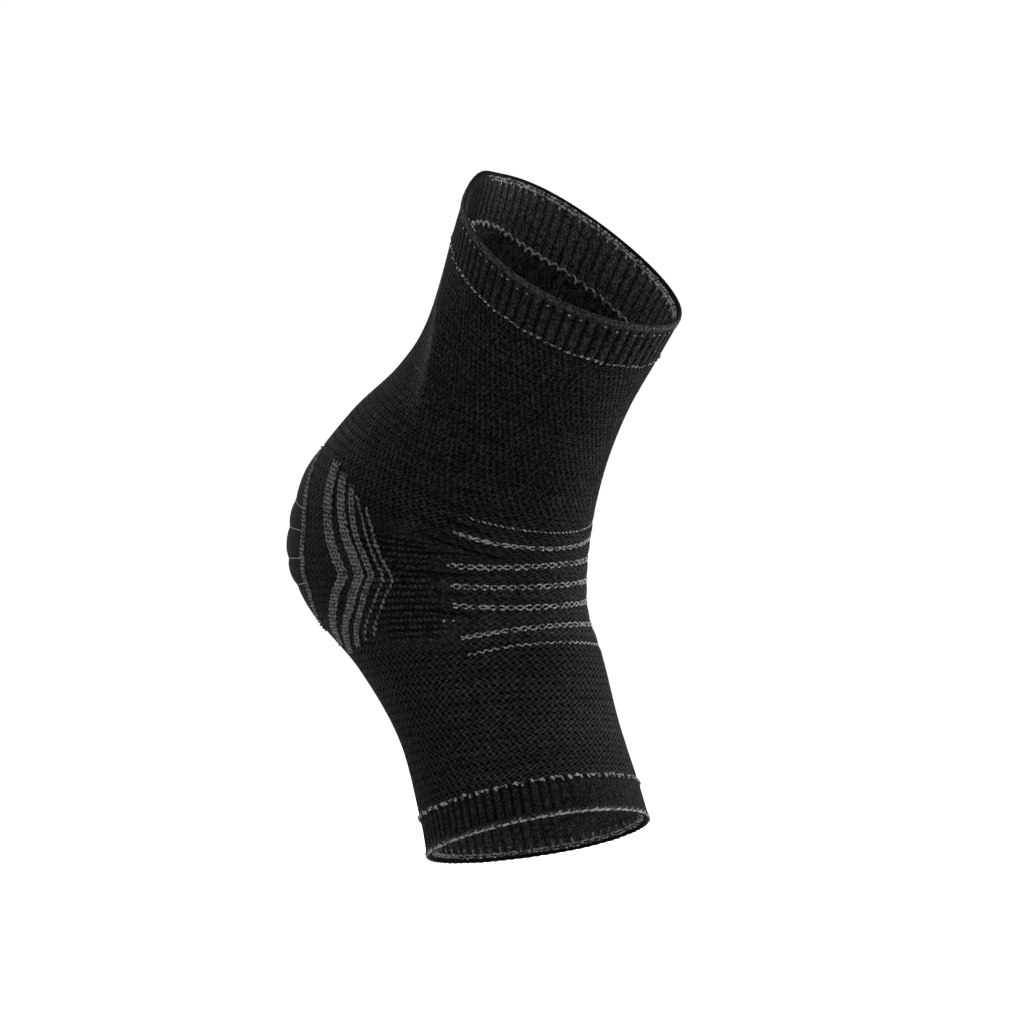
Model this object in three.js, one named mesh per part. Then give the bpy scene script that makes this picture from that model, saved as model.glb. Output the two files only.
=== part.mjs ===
// Knitted ankle compression sleeve, in the form that it has when worn. Millimetres.
// X points to the toes, Y to the wearer's left and Z up. The origin is the middle of the ankle.
// Every piece lies on one tube that runs through stations, from the foot rim (0) to the leg rim (11).

import * as THREE from 'three';

// Sections of the tube, one row for each station. Front and back are its ends in the middle plane.
// fullFront widens the front half against the back half, and dip is how far the sides hang down.
const STATIONS = [
  { frontX: 69.0, frontZ: -91.5, backX: 3.5, backZ: -110.0, halfWidth: 39.0, fullFront: 0.05, dip: 1.0 },
  { frontX: 65.0, frontZ: -80.0, backX: -0.5, backZ: -97.0, halfWidth: 38.0, fullFront: 0.04, dip: 0.7 },
  { frontX: 58.5, frontZ: -62.5, backX: -12.0, backZ: -70.5, halfWidth: 36.5, fullFront: 0.03, dip: 0.3 },
  { frontX: 52.5, frontZ: -42.0, backX: -33.5, backZ: -47.0, halfWidth: 37.0, fullFront: 0.05, dip: 0.0 },
  { frontX: 47.5, frontZ: -27.5, backX: -58.5, backZ: -28.0, halfWidth: 36.5, fullFront: 0.08, dip: 0.0 },
  { frontX: 48.0, frontZ: -14.5, backX: -74.5, backZ: -6.5, halfWidth: 36.5, fullFront: 0.1, dip: 0.0 },
  { frontX: 49.0, frontZ: -7.0, backX: -67.5, backZ: 21.0, halfWidth: 35.5, fullFront: 0.12, dip: 0.0 },
  { frontX: 51.0, frontZ: 5.0, backX: -43.5, backZ: 42.5, halfWidth: 34.5, fullFront: 0.12, dip: 0.0 },
  { frontX: 56.0, frontZ: 19.5, backX: -17.0, backZ: 57.5, halfWidth: 33.5, fullFront: 0.08, dip: 0.0 },
  { frontX: 64.0, frontZ: 35.0, backX: 0.0, backZ: 73.0, halfWidth: 34.5, fullFront: 0.06, dip: 0.6 },
  { frontX: 75.5, frontZ: 49.5, backX: 14.5, backZ: 102.5, halfWidth: 37.0, fullFront: 0.06, dip: 1.7 },
  { frontX: 84.5, frontZ: 61.5, backX: 19.5, backZ: 117.0, halfWidth: 39.0, fullFront: 0.08, dip: 2.3 },
];
const FOOT_RIM = 0;
const FOOT_SEAM = 1;
const LEG_SEAM = 10;
const LEG_RIM = 11;

// Thickness of the knit and the clearance between two pieces
const WALL = 2.0;
const GAP = 0.35;

// Instep: raised courses across the front, in grooves at these stations in the middle plane
const GROOVE_STATIONS = [3.36, 3.65, 4.1, 4.63, 5.08, 5.9, 6.37];
const GROOVE_HEIGHT = -0.3;
const COURSE_HEIGHT = 0.3;
const COURSE_HALF_ANGLE = 66;
const COURSE_FADE_ANGLE = 20;
const ROWS_PER_COURSE = 3;

// Heel panel: its cross lines, each on a row of the instep's courses, and half the angle it spans there
const CROSS_LINES = [
  { row: 0, station: 3.75, halfAngle: 36 },
  { row: 4, station: 4.53, halfAngle: 57 },
  { row: 7, station: 4.96, halfAngle: 60 },
  { row: 10, station: 5.4, halfAngle: 60 },
  { row: 13, station: 5.74, halfAngle: 55 },
  { row: 18, station: 6.5, halfAngle: 38 },
];
const PANEL_SINK = 1.3;
const PANEL_EDGE = 0.5;
const PANEL_LINE_HEIGHT = 1.1;
const PANEL_CELL_HEIGHT = 1.9;

// Net of the body: columns round the tube and rows beyond the courses
const PANEL_COLUMNS = 16;
const FREE_COLUMNS = 36;
const FOOT_ROWS = 6;
const LEG_ROWS = 9;
const LINING_STEP = 2.5;

// Ribbed cuffs: two columns to a rib. Rows go up the outside, over the rim and down the inside.
const RIBS = 76;
const RIB_RELIEF = 0.35;
const CUFF_PROFILE = [
  { below: 'seam', inset: 0.1, rib: 1 },
  { below: 2.4, inset: 0.1, rib: 1 },
  { below: 1.5, inset: 0.0, rib: 0 },
  { below: 0.3, inset: 0.3, rib: 0 },
  { below: 0.0, inset: 1.3, rib: 0 },
  { below: 1.8, inset: 2.2, rib: 0 },
  { below: 'seam', inset: 2.2, rib: -1 },
];

const knitBlack = new THREE.MeshStandardMaterial({ color: 0x17171a, roughness: 0.92, metalness: 0 });
const ribBlack = new THREE.MeshStandardMaterial({ color: 0x1b1b1e, roughness: 0.9, metalness: 0 });
const panelBlack = new THREE.MeshStandardMaterial({ color: 0x202024, roughness: 0.85, metalness: 0 });

const COLUMN_NAMES = Object.keys(STATIONS[0]);
const stationSpline = new THREE.CubicInterpolant(
  STATIONS.map((_, index) => index),
  STATIONS.flatMap((row) => COLUMN_NAMES.map((name) => row[name])),
  COLUMN_NAMES.length,
);

// The section at any station, by a smooth curve through the table
function sectionAt(station) {
  const values = stationSpline.evaluate(station);
  return Object.fromEntries(COLUMN_NAMES.map((name, index) => [name, values[index]]));
}

// Point of the tube's outer skin. The angle runs from the front, 0, round to the back, pi.
function skinPoint(station, angle) {
  const section = sectionAt(station);
  const front = new THREE.Vector3(section.frontX, 0, section.frontZ);
  const back = new THREE.Vector3(section.backX, 0, section.backZ);
  const along = front.clone().sub(back).normalize();
  const up = new THREE.Vector3(-along.z, 0, along.x);
  const cos = Math.cos(angle);
  const sin = Math.sin(angle);
  const point = back.lerp(front, (1 + cos) / 2);
  point.y = section.halfWidth * sin * (1 + section.fullFront * cos);
  return point.addScaledVector(up, -section.dip * sin * sin);
}

// Outward normal of the skin, from small steps along the tube and round it
function skinNormal(station, angle) {
  const step = 1e-3;
  const low = Math.max(station - step, FOOT_RIM);
  const high = Math.min(station + step, LEG_RIM);
  const along = skinPoint(high, angle).sub(skinPoint(low, angle));
  const round = skinPoint(station, angle + step).sub(skinPoint(station, angle - step));
  return round.cross(along).normalize();
}

// Point at a height above the skin, or below it where the height is negative
function raisedPoint(station, angle, height) {
  return skinPoint(station, angle).addScaledVector(skinNormal(station, angle), height);
}

// Station at a distance from one station towards another, measured along the front
function stationBeside(from, towards, distance) {
  const length = skinPoint(from, 0).distanceTo(skinPoint(towards, 0));
  return from + ((towards - from) * distance) / length;
}

// Values spread evenly between each two of a list, with so many steps from one to the next
function spread(values, steps) {
  const inner = values.slice(0, -1).flatMap((value, index) => {
    const count = Array.isArray(steps) ? steps[index] : steps;
    return Array.from({ length: count }, (_, k) => value + ((values[index + 1] - value) * k) / count);
  });
  return [...inner, values.at(-1)];
}

const degrees = THREE.MathUtils.degToRad;
const crossLineSteps = CROSS_LINES.slice(1).map((line, index) => line.row - CROSS_LINES[index].row);

// Rows of the body. Each has a station at the front and one at the back, half the angle of the heel panel,
// whether it lies in a groove of the instep, and its place between two cross lines (0 to 1).
function bodyRows() {
  const courseFronts = spread(GROOVE_STATIONS, ROWS_PER_COURSE);
  const courseBacks = spread(CROSS_LINES.map((line) => line.station), crossLineSteps);
  const courseAngles = spread(CROSS_LINES.map((line) => line.halfAngle), crossLineSteps);
  const footSeam = stationBeside(FOOT_SEAM, FOOT_SEAM + 1, GAP);
  const legSeam = stationBeside(LEG_SEAM, LEG_SEAM - 1, GAP);
  const footFronts = spread([footSeam, courseFronts[0]], FOOT_ROWS).slice(0, -1);
  const footBacks = spread([footSeam, courseBacks[0]], FOOT_ROWS).slice(0, -1);
  const legFronts = spread([courseFronts.at(-1), legSeam], LEG_ROWS).slice(1);
  const legBacks = spread([courseBacks.at(-1), legSeam], LEG_ROWS).slice(1);
  const foot = footFronts.map((front, k) => ({ front, back: footBacks[k], halfAngle: courseAngles[0] }));
  const leg = legFronts.map((front, k) => ({ front, back: legBacks[k], halfAngle: courseAngles.at(-1) }));
  const courses = courseFronts.map((front, k) => ({
    front,
    back: courseBacks[k],
    halfAngle: courseAngles[k],
    inGroove: k % ROWS_PER_COURSE === 0,
    cell: cellPlace(k),
    inPanel: true,
  }));
  return [...foot, ...courses, ...leg];
}

// Place of a course's row between the two cross lines beside it, 0 on a line
function cellPlace(row) {
  const lower = CROSS_LINES.findLastIndex((line) => line.row <= row);
  const upper = Math.min(lower + 1, CROSS_LINES.length - 1);
  const rows = CROSS_LINES[upper].row - CROSS_LINES[lower].row;
  return rows ? (row - CROSS_LINES[lower].row) / rows : 0;
}

// Angles of one row's columns. The first ones span the heel panel and the others the rest of the tube.
function rowAngles(row) {
  const half = degrees(row.halfAngle);
  const panel = spread([Math.PI - half, Math.PI + half], PANEL_COLUMNS).slice(0, -1);
  const free = spread([Math.PI + half, 3 * Math.PI - half], FREE_COLUMNS).slice(0, -1);
  return [...panel, ...free];
}

// Station of a row at an angle, between its front and its back
function rowStation(row, angle) {
  return THREE.MathUtils.lerp(row.back, row.front, (1 + Math.cos(angle)) / 2);
}

// Height of the instep's courses: low in the grooves, full between them, fading out at the sides
function courseHeight(row, angle) {
  if (!row.inPanel) return 0;
  const fromFront = Math.abs(THREE.MathUtils.euclideanModulo(angle + Math.PI, 2 * Math.PI) - Math.PI);
  const fadeStart = degrees(COURSE_HALF_ANGLE - COURSE_FADE_ANGLE);
  const fade = 1 - THREE.MathUtils.smoothstep(fromFront, fadeStart, degrees(COURSE_HALF_ANGLE));
  return fade * (row.inGroove ? GROOVE_HEIGHT : COURSE_HEIGHT);
}

// Closed mesh from rows of points that close on themselves both ways
function ringMesh(name, rows, material) {
  const columns = rows[0].length;
  const index = [];
  rows.forEach((row, r) => {
    const next = (r + 1) % rows.length;
    row.forEach((_, c) => {
      const side = (c + 1) % columns;
      const corners = [r * columns + c, r * columns + side, next * columns + side, next * columns + c];
      index.push(corners[0], corners[1], corners[2], corners[0], corners[2], corners[3]);
    });
  });
  return namedMesh(name, rows.flat(), index, material);
}

// Closed mesh of a slab between an upper and a lower grid of points
function slabMesh(name, upper, lower, material) {
  const columns = upper[0].length;
  const count = upper.length * columns;
  const at = (r, c) => r * columns + c;
  const index = [];
  for (let r = 0; r + 1 < upper.length; r += 1) {
    for (let c = 0; c + 1 < columns; c += 1) {
      const corners = [at(r, c), at(r, c + 1), at(r + 1, c + 1), at(r + 1, c)];
      index.push(corners[0], corners[1], corners[2], corners[0], corners[2], corners[3]);
      const under = corners.map((corner) => corner + count);
      index.push(under[0], under[2], under[1], under[0], under[3], under[2]);
    }
  }
  const last = upper.length - 1;
  const edge = [
    ...upper[0].map((_, c) => at(0, c)),
    ...upper.slice(1).map((_, r) => at(r + 1, columns - 1)),
    ...upper[0].slice(1).map((_, c) => at(last, columns - 2 - c)),
    ...upper.slice(1, -1).map((_, r) => at(last - 1 - r, 0)),
  ];
  edge.forEach((a, k) => {
    const b = edge[(k + 1) % edge.length];
    index.push(a, a + count, b + count, a, b + count, b);
  });
  return namedMesh(name, [...upper.flat(), ...lower.flat()], index, material);
}

function namedMesh(name, points, index, material) {
  const geometry = new THREE.BufferGeometry().setFromPoints(points);
  geometry.setIndex(index);
  geometry.computeVertexNormals();
  const mesh = new THREE.Mesh(geometry, material);
  mesh.name = name;
  return mesh;
}

// Outer skin of the body: courses over the instep and a shallow seat for the heel panel
function bodySkin(rows) {
  const courseRows = rows.filter((row) => row.inPanel);
  return rows.map((row) =>
    rowAngles(row).map((angle, column) => {
      const innerRow = row.inPanel && row !== courseRows[0] && row !== courseRows.at(-1);
      const seat = innerRow && column > 0 && column < PANEL_COLUMNS;
      const height = courseHeight(row, angle) - (seat ? PANEL_SINK : 0);
      return raisedPoint(rowStation(row, angle), angle, height);
    }),
  );
}

// Knitted wall between the cuffs
function sleeveBody() {
  const rows = bodyRows();
  const count = Math.round(rows.length / LINING_STEP);
  const picks = Array.from({ length: count + 1 }, (_, k) => Math.round((k * (rows.length - 1)) / count));
  const lining = picks.reverse().map((pick) => {
    const row = rows[pick];
    const depth = row.inPanel ? WALL + PANEL_SINK : WALL;
    return rowAngles(row).map((angle, column) => {
      const underPanel = row.inPanel && column > 0 && column < PANEL_COLUMNS;
      return raisedPoint(rowStation(row, angle), angle, underPanel ? -depth : -WALL);
    });
  });
  return ringMesh('sleeve_body', [...bodySkin(rows), ...lining], knitBlack);
}

// Quilted panel round the back of the heel, seated in the body's skin
function heelPanel() {
  const rows = bodyRows().filter((row) => row.inPanel);
  const last = rows.length - 1;
  const seatHeight = (r, c) => (r > 0 && r < last && c > 0 && c < PANEL_COLUMNS ? GAP - PANEL_SINK : GAP);
  const grid = (height) =>
    rows.map((row, r) =>
      rowAngles(row)
        .slice(0, PANEL_COLUMNS + 1)
        .map((angle, c) => raisedPoint(rowStation(row, angle), angle, height(row, r, c))),
    );
  const top = (row, r, c) => {
    const edge = r === 0 || r === last || c === 0 || c === PANEL_COLUMNS;
    if (edge) return GAP + PANEL_EDGE;
    const puff = THREE.MathUtils.lerp(PANEL_LINE_HEIGHT, PANEL_CELL_HEIGHT, Math.sin(Math.PI * row.cell));
    return seatHeight(r, c) + puff;
  };
  return slabMesh('heel_panel', grid(top), grid((row, r, c) => seatHeight(r, c)), panelBlack);
}

// Ribbed cuff between a seam and a rim
function cuff(name, seam, rim) {
  const angles = Array.from({ length: 2 * RIBS }, (_, k) => (Math.PI * k) / RIBS);
  const rows = CUFF_PROFILE.map((row) => {
    const station = row.below === 'seam' ? seam : stationBeside(rim, seam, row.below);
    return angles.map((angle, k) => {
      const relief = row.rib * RIB_RELIEF * (k % 2 ? -1 : 1);
      return raisedPoint(station, angle, relief - row.inset);
    });
  });
  return ringMesh(name, seam < rim ? rows : rows.reverse(), ribBlack);
}

const sleeve = new THREE.Group();
sleeve.add(
  sleeveBody(),
  heelPanel(),
  cuff('leg_cuff', LEG_SEAM, LEG_RIM),
  cuff('foot_cuff', FOOT_SEAM, FOOT_RIM),
);

export default sleeve;
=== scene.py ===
"""Dresses the ankle compression sleeve: knitted walls, ribbed cuffs, quilted heel panel and grey yarn.

Lengths are millimetres until a mesh is made. A place on the sleeve is a station along it, from the foot
rim (0) to the leg rim (11), and an angle round it, from the front (0) over the far side to the back (half
a turn).
"""

import math
from functools import partial

import bpy
import numpy as np
from mathutils import Matrix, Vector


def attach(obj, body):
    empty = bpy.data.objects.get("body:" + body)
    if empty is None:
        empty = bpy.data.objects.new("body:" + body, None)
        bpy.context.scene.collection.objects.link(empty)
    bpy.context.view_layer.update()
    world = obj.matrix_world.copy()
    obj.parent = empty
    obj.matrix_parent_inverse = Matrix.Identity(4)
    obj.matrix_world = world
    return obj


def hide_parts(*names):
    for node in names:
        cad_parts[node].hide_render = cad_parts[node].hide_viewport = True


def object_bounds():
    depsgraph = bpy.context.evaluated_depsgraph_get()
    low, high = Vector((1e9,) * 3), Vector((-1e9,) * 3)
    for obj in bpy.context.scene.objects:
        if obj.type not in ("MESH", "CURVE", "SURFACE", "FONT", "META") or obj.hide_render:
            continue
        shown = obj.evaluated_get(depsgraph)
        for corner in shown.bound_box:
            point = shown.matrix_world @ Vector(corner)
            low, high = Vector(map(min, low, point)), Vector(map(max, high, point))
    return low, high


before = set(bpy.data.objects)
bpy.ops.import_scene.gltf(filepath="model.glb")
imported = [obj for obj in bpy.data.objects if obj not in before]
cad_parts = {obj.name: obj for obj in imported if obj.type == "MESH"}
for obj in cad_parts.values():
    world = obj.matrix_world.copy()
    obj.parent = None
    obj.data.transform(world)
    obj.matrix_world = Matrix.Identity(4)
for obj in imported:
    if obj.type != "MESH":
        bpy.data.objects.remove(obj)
CAD_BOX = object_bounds()

MM = 0.001
TAU = 2 * np.pi
RANDOM = np.random.default_rng(11)

# Sections of the sleeve, one row for each station, as in the solids: front and back ends in the middle plane,
# half the width, how much fuller the front half is than the back half, and how far the sides hang down
SECTION_TABLE = np.array([
    # front_x front_z back_x back_z half_width full_front dip
    (69.0, -91.5, 3.5, -110.0, 39.0, 0.05, 1.0),
    (65.0, -80.0, -0.5, -97.0, 38.0, 0.04, 0.7),
    (58.5, -62.5, -12.0, -70.5, 36.5, 0.03, 0.3),
    (52.5, -42.0, -33.5, -47.0, 37.0, 0.05, 0.0),
    (47.5, -27.5, -58.5, -28.0, 36.5, 0.08, 0.0),
    (48.0, -14.5, -74.5, -6.5, 36.5, 0.10, 0.0),
    (49.0, -7.0, -67.5, 21.0, 35.5, 0.12, 0.0),
    (51.0, 5.0, -43.5, 42.5, 34.5, 0.12, 0.0),
    (56.0, 19.5, -17.0, 57.5, 33.5, 0.08, 0.0),
    (64.0, 35.0, 0.0, 73.0, 34.5, 0.06, 0.6),
    (75.5, 49.5, 14.5, 102.5, 37.0, 0.06, 1.7),
    (84.5, 61.5, 19.5, 117.0, 39.0, 0.08, 2.3),
])
FOOT_RIM, FOOT_SEAM, LEG_SEAM, LEG_RIM = 0.0, 1.0, 10.0, 11.0
WALL = 2.0
STRETCH_ROUND, STRETCH_ALONG = 1.2, 1.05

# Knit: wales round the foot and round the leg, and the number of the course at some stations
WALES, LEG_WALES = 98, 114
COLUMNS_PER_WALE = 6
ROWS_PER_COURSE = 5
COURSE_STATIONS = (1.0, 3.1, 6.7, 8.3, 10.0)
COURSE_NUMBERS = (0.0, 19.0, 45.0, 58.5, 73.5)
LINING_ROWS = 8
# The lining's 1.7 is painted light, lighter inside the sleeve than outside
LINING_SHARES = {"pits": 0.1, "purls": 0.3, "fine": 1.0, "tone_and_painted_shading": 1.7}
PIT_DEPTH = 0.3
PURL_HEIGHT = 0.25
# Sums of the waves below at which pits and purl bumps begin and are full
PIT_REACH, PURL_REACH = (0.5, 2.8), (-1.2, 1.9)

# Waves that peak together in the pits of the knit, staggered from course to course and finer on the leg,
# and waves that peak together in the bumps of the purls
PIT_WAVES = (
    # weight waves_in_a_wale waves_in_a_course
    (1.4, 1.0, 0.5),
    (0.5, 1.0, -0.5),
    (1.6, 1.0, -1.5),
    (1.3, 1.0, 1.5),
    (0.5, 0.0, 1.0),
)
LEG_WAVES = (
    # weight waves_in_a_wale waves_in_a_course
    (1.3, 1.0, 0.5),
    (0.5, 1.0, -0.5),
    (0.6, 0.0, 1.0),
    (1.1, 2.0, 0.0),
    (1.1, 0.0, 2.0),
)
PURL_WAVES = (
    # weight waves_in_a_wale waves_in_a_course
    (1.6, 0.0, 1.0),
    (0.85, 1.55, 0.22),
    (0.8, 1.55, -0.78),
)

# Grey courses over the instep, from the toes up. The side angle counts up from the front on the near side
# and down on the far side.
COURSE_SIDES = (50.0, 10.0, -30.0, -50.0)
INSTEP_COURSES = np.array([
    # station at each side angle above
    (3.05, 3.24, 3.24, 3.22),
    (3.38, 3.61, 3.71, 3.72),
    (4.09, 4.07, 4.25, 4.33),
    (4.51, 4.54, 4.75, 4.84),
    (4.98, 5.11, 5.46, 5.56),
    (5.95, 5.87, 6.21, 6.32),
    (6.38, 6.36, 6.55, 6.62),
])
COURSE_ENDS = (52.0, 52.0, 50.0, 49.5, 50.5, 50.0, 48.0)
COURSE_STYLES = ("zigzag", "chain", "chain", "chain", "chain", "small_chain", "dashes")
COURSE_STEPS = 420
RIDGE_HEIGHT = 0.55
RIDGE_SINK = 0.6
RIDGE_HALF_ANGLE = 60.0
CHAIN_HALF_HEIGHTS = {"chain": 0.75, "small_chain": 0.4875}
RING_PITCH = 3.03
BEAD_PITCH = 1.1
YARN_RADIUS = 0.29
ZIGZAG_HALF_HEIGHT = 0.35
ZIGZAG_PITCH = 2.6
SPECKS = (
    # station side radius
    (3.75, 56.0, 0.5),
    (3.75, 52.0, 0.3),
    (3.80, 38.0, 0.2),
)

# Tension creases beside the ends of the grey courses
CREASES = (
    # station side to_station to_side depth
    (6.26, 58.0, 6.06, 38.0, 0.40),
    (5.97, 60.0, 5.70, 46.0, 0.30),
    (5.78, 63.0, 5.27, 29.0, 0.50),
    (5.28, 63.0, 5.32, 46.0, 0.45),
    (4.79, 63.0, 4.75, 42.0, 0.45),
    (4.35, 58.0, 4.30, 38.0, 0.25),
    (3.98, 61.0, 3.86, 43.0, 0.45),
    (6.88, 83.0, 6.89, 45.0, 0.16),
    (6.66, 78.0, 6.66, 60.0, 0.16),
    (6.23, 70.0, 5.94, 55.0, 0.20),
    (6.60, 64.0, 6.49, 43.0, 0.24),
    (7.21, 81.0, 7.31, 52.0, 0.14),
)
CREASE_HALF_WIDTH = 0.5
CREASE_FADE = 7.0
# Strength of the painted shade in the creases
CREASE_PAINTED_SHADE = 3.5
# Millimetres in a station, in front and at the side, and in a degree round the leg
STATION_LENGTHS = (9.0, 19.0)
DEGREE_LENGTH = 0.62

# Soft fold up the back of each side of the leg, by its side angle at some stations
FOLD_STATIONS = (7.4, 7.7, 8.3, 8.94, 9.62, 10.0)
FOLD_SIDES = (84.0, 88.5, 97.0, 106.0, 120.5, 129.0)
FOLD_HEIGHT = 0.9
FOLD_WIDTHS = (4.0, 10.0)
FOLD_STRETCH = (7.3, 8.1, 9.4, 9.9)
# Strength of the painted light in a strip just behind the fold
FOLD_PAINTED_LIGHT = 2.4

# Zones of the knit, by the stations and side angles at which each begins, is full, begins to end and ends:
# smooth heel, instep, finer leg, purls on the side of the ankle, and painted shade in front of the striped
# band.
# The leg's darkening is painted shade too.
# A limit that no place reaches leaves a zone open there.
ZONES = {
    # zone: stations side_angles share_of_pits_lost tone_added
    "heel": ((3.5, 4.2, 6.2, 6.9), (92, 104, 181, 182), 0.4, -0.4),
    "instep": ((3.2, 3.5, 6.3, 6.6), (-2, -1, 46, 58), 0.2, 0.0),
    "leg": ((6.3, 7.3, 12, 13), (-2, -1, 181, 182), 0.1, -0.17),
    "purls": ((3.0, 3.6, 5.4, 6.1), (46, 62, 82, 100), 1.0, 0.1),
    "shade": ((4.9, 5.4, 6.0, 6.6), (68, 76, 88, 98), 0.0, -0.4),
}

# Striped band on each side of the heel, by six places down each stripe: nets, with the holes across them and
# the width of a hole, and rows of short stitches
NET_STRIPES = (
    # stations side_angles holes hole_width
    ((6.48, 5.74, 5.07, 4.70, 4.06, 3.44), (115.5, 106.0, 97.5, 94.0, 110.5, 129.0), 2, 2.1),
    ((6.38, 5.80, 5.10, 4.70, 4.05, 3.27), (106.5, 98.2, 88.5, 86.0, 98.5, 123.5), 2, 1.75),
    ((6.27, 5.80, 5.11, 4.70, 4.04, 3.35), (98.5, 92.4, 83.4, 80.6, 92.0, 110.0), 1, 1.9),
)
STITCH_STRIPES = (
    # stations side_angles
    ((6.14, 5.78, 5.29, 4.66, 4.15, 3.34), (93.6, 86.9, 81.0, 75.4, 84.0, 103.5)),
    ((6.01, 5.70, 5.27, 4.62, 4.03, 3.44), (87.2, 82.4, 77.8, 71.6, 81.8, 95.0)),
)
STRIPE_STEPS = 240
STITCH_SWAY = 0.3
RUNG_PITCH = 1.4
KNOT_PITCH = 2.6
STITCH_PITCH = 1.9

# Quilted heel panel, by half its angle at some stations, and its cross lines, by the station in the middle
# and at the edge
PANEL_STATIONS = (3.72, 4.0, 4.4, 4.95, 5.4, 5.74, 6.2, 6.52)
PANEL_HALF_ANGLES = (35.0, 46.0, 56.0, 60.0, 60.0, 55.0, 45.0, 37.0)
CROSS_LINES = np.array([(4.53, 4.56), (4.96, 4.98), (5.40, 5.385), (5.74, 5.68)])
PANEL_SINK = 1.2
PANEL_PUFF = 0.85
PANEL_OUTLINE, PANEL_UNDER = -0.4, -0.8
PANEL_ROWS, PANEL_COLUMNS = 130, 84
PANEL_WALES, PANEL_COURSES = 1.5 * WALES, 20.0

# Ribbed cuffs: the ribs of the outside are wider in front, and the inside has fewer of them
RIBS = 76
INNER_RIBS = 58
RIM_STITCHES = 152
SEAM_STITCHES = 114
COLUMNS_PER_RIB = 8
OUTER_ROWS, ROLL_ROWS, INNER_ROWS = 25, 9, 16
WALES_PER_RIB = 2
RIB_COURSE = 1.5
RIB_DEPTH = 0.6
RIM_BAND = 1.7
RIM_RADIUS = 0.75
CORNER_LIFT, CORNER_ANGLE, CORNER_WIDTH = 1.5, 199.0, 12.0
PRESS_SHARE, PRESS_ANGLE, PRESS_WIDTH = 0.025, 222.0, 16.0
CUFF_WALL = 2.1
LEG_HEM_DROP = 3.2
HEM_DROP_ANGLES = (0.0, 60.0, 140.0, 200.0)
# Sharp bends of the leg rim, and painted shade inside it where it bends, by side angle and half width
RIM_BENDS = ((142.0, 27.0), (-16.0, 25.0))
INSIDE_PAINTED_SHADE = ((148.0, 36.0), (-25.0, 25.0))
# Seam, rim and spread of the ribs in front
LEG_CUFF = (LEG_SEAM, LEG_RIM, 0.2)
FOOT_CUFF = (FOOT_SEAM, FOOT_RIM, 0.05)

# Camera: the photograph's place and lens
CAMERA_TARGET = (25.0, 0.0, 5.0)
CAMERA_DISTANCE = 1254.9
CAMERA_SIDE_ANGLE = 44.7
CAMERA_ELEVATION = -3.2
LENS = 135.0
FLOOR_GAP = 6.0
FLOOR_REACH = 6.0
SURROUND = 1.05
LIGHTS = (
    # name place size power
    ("key", (0.65, 1.35, 0.08), 0.9, 66.0),
    ("top", (0.05, 0.0, 1.5), 1.2, 18.0),
    ("rim", (-0.95, 0.14, 0.6), 0.5, 8.5),
)


# Shape of the sleeve

def ease(value, low, high):
    """Smooth step from 0 at low to 1 at high."""
    x = np.clip((value - low) / (high - low), 0, 1)
    return x * x * (3 - 2 * x)


def between(value, low, low_end, high_start, high):
    """1 from low_end to high_start, with smooth steps to 0 at low and at high."""
    return ease(value, low, low_end) * (1 - ease(value, high_start, high))


def sections(station):
    """Cubic curve through the table's rows: the slope at a row is half the step between its neighbours."""
    slopes = np.gradient(SECTION_TABLE, axis=0)
    row = np.clip(np.floor(station).astype(int), 0, len(SECTION_TABLE) - 2)
    f = (station - row)[..., None]
    start, end = SECTION_TABLE[row], SECTION_TABLE[row + 1]
    value = start * (1 + 2 * f) * (1 - f) ** 2 + end * f * f * (3 - 2 * f)
    value += slopes[row] * f * (1 - f) ** 2 + slopes[row + 1] * f * f * (f - 1)
    return np.moveaxis(value, -1, 0)


def skin(station, angle):
    """Point of the smooth skin: an oval from the section's front to its back, fuller in front, with hanging
    sides. The leg rim is lifted to a soft corner near its back and pressed in beside the corner."""
    station, angle = np.broadcast_arrays(np.asarray(station, float), np.asarray(angle, float))
    front_x, front_z, back_x, back_z, half_width, full_front, dip = sections(station)
    turn, rim = np.degrees(angle) % 360, ease(station, LEG_SEAM, LEG_RIM)
    press = 1 - PRESS_SHARE * rim * np.exp(-((turn - PRESS_ANGLE) / PRESS_WIDTH) ** 2)
    corner = CORNER_LIFT * rim * np.exp(-((turn - CORNER_ANGLE) / CORNER_WIDTH) ** 2)
    cos, sin = press * np.cos(angle), press * np.sin(angle)
    length = np.hypot(front_x - back_x, front_z - back_z)
    hang = (dip * sin ** 2 - corner) / length
    x = (front_x + back_x) / 2 + (front_x - back_x) / 2 * cos + (front_z - back_z) * hang
    y = half_width * sin * (1 + full_front * cos)
    z = (front_z + back_z) / 2 + (front_z - back_z) / 2 * cos - (front_x - back_x) * hang
    return np.stack([x, y, z], -1)


def unit(vector):
    return vector / np.linalg.norm(vector, axis=-1, keepdims=True)


def directions(station, angle):
    """Unit vectors at a place of the skin: up along the sleeve, round it, and outwards."""
    step = 1e-3
    low, high = np.clip(station - step, FOOT_RIM, LEG_RIM), np.clip(station + step, FOOT_RIM, LEG_RIM)
    up = unit(skin(high, angle) - skin(low, angle))
    around = unit(skin(station, angle + step) - skin(station, angle - step))
    return up, around, unit(np.cross(around, up))


def raised(station, angle, height):
    """Point at a height over the skin."""
    return skin(station, angle) + directions(station, angle)[2] * np.asarray(height)[..., None]


def lengths(points):
    """Distance along a path from its first point to each point."""
    return np.concatenate([[0], np.cumsum(np.linalg.norm(np.diff(points, axis=0), axis=-1))])


def round_angle(station, turn):
    """Angle at a share of the way round from the back. A wave of two turns spaces the shares evenly."""
    front_x, front_z, back_x, back_z, half_width = sections(station)[:5]
    half_length = np.hypot(front_x - back_x, front_z - back_z) / 2
    even = turn * TAU - np.pi
    return even + (half_length - half_width) / (half_length + half_width) / 2 * np.sin(2 * even)


def side_angle(angle):
    """Angle from the front in degrees: positive on the near side, negative on the far side."""
    return np.degrees((np.pi - angle) % TAU - np.pi)


# Relief of the knit, and its colour with painted light and shade

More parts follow.
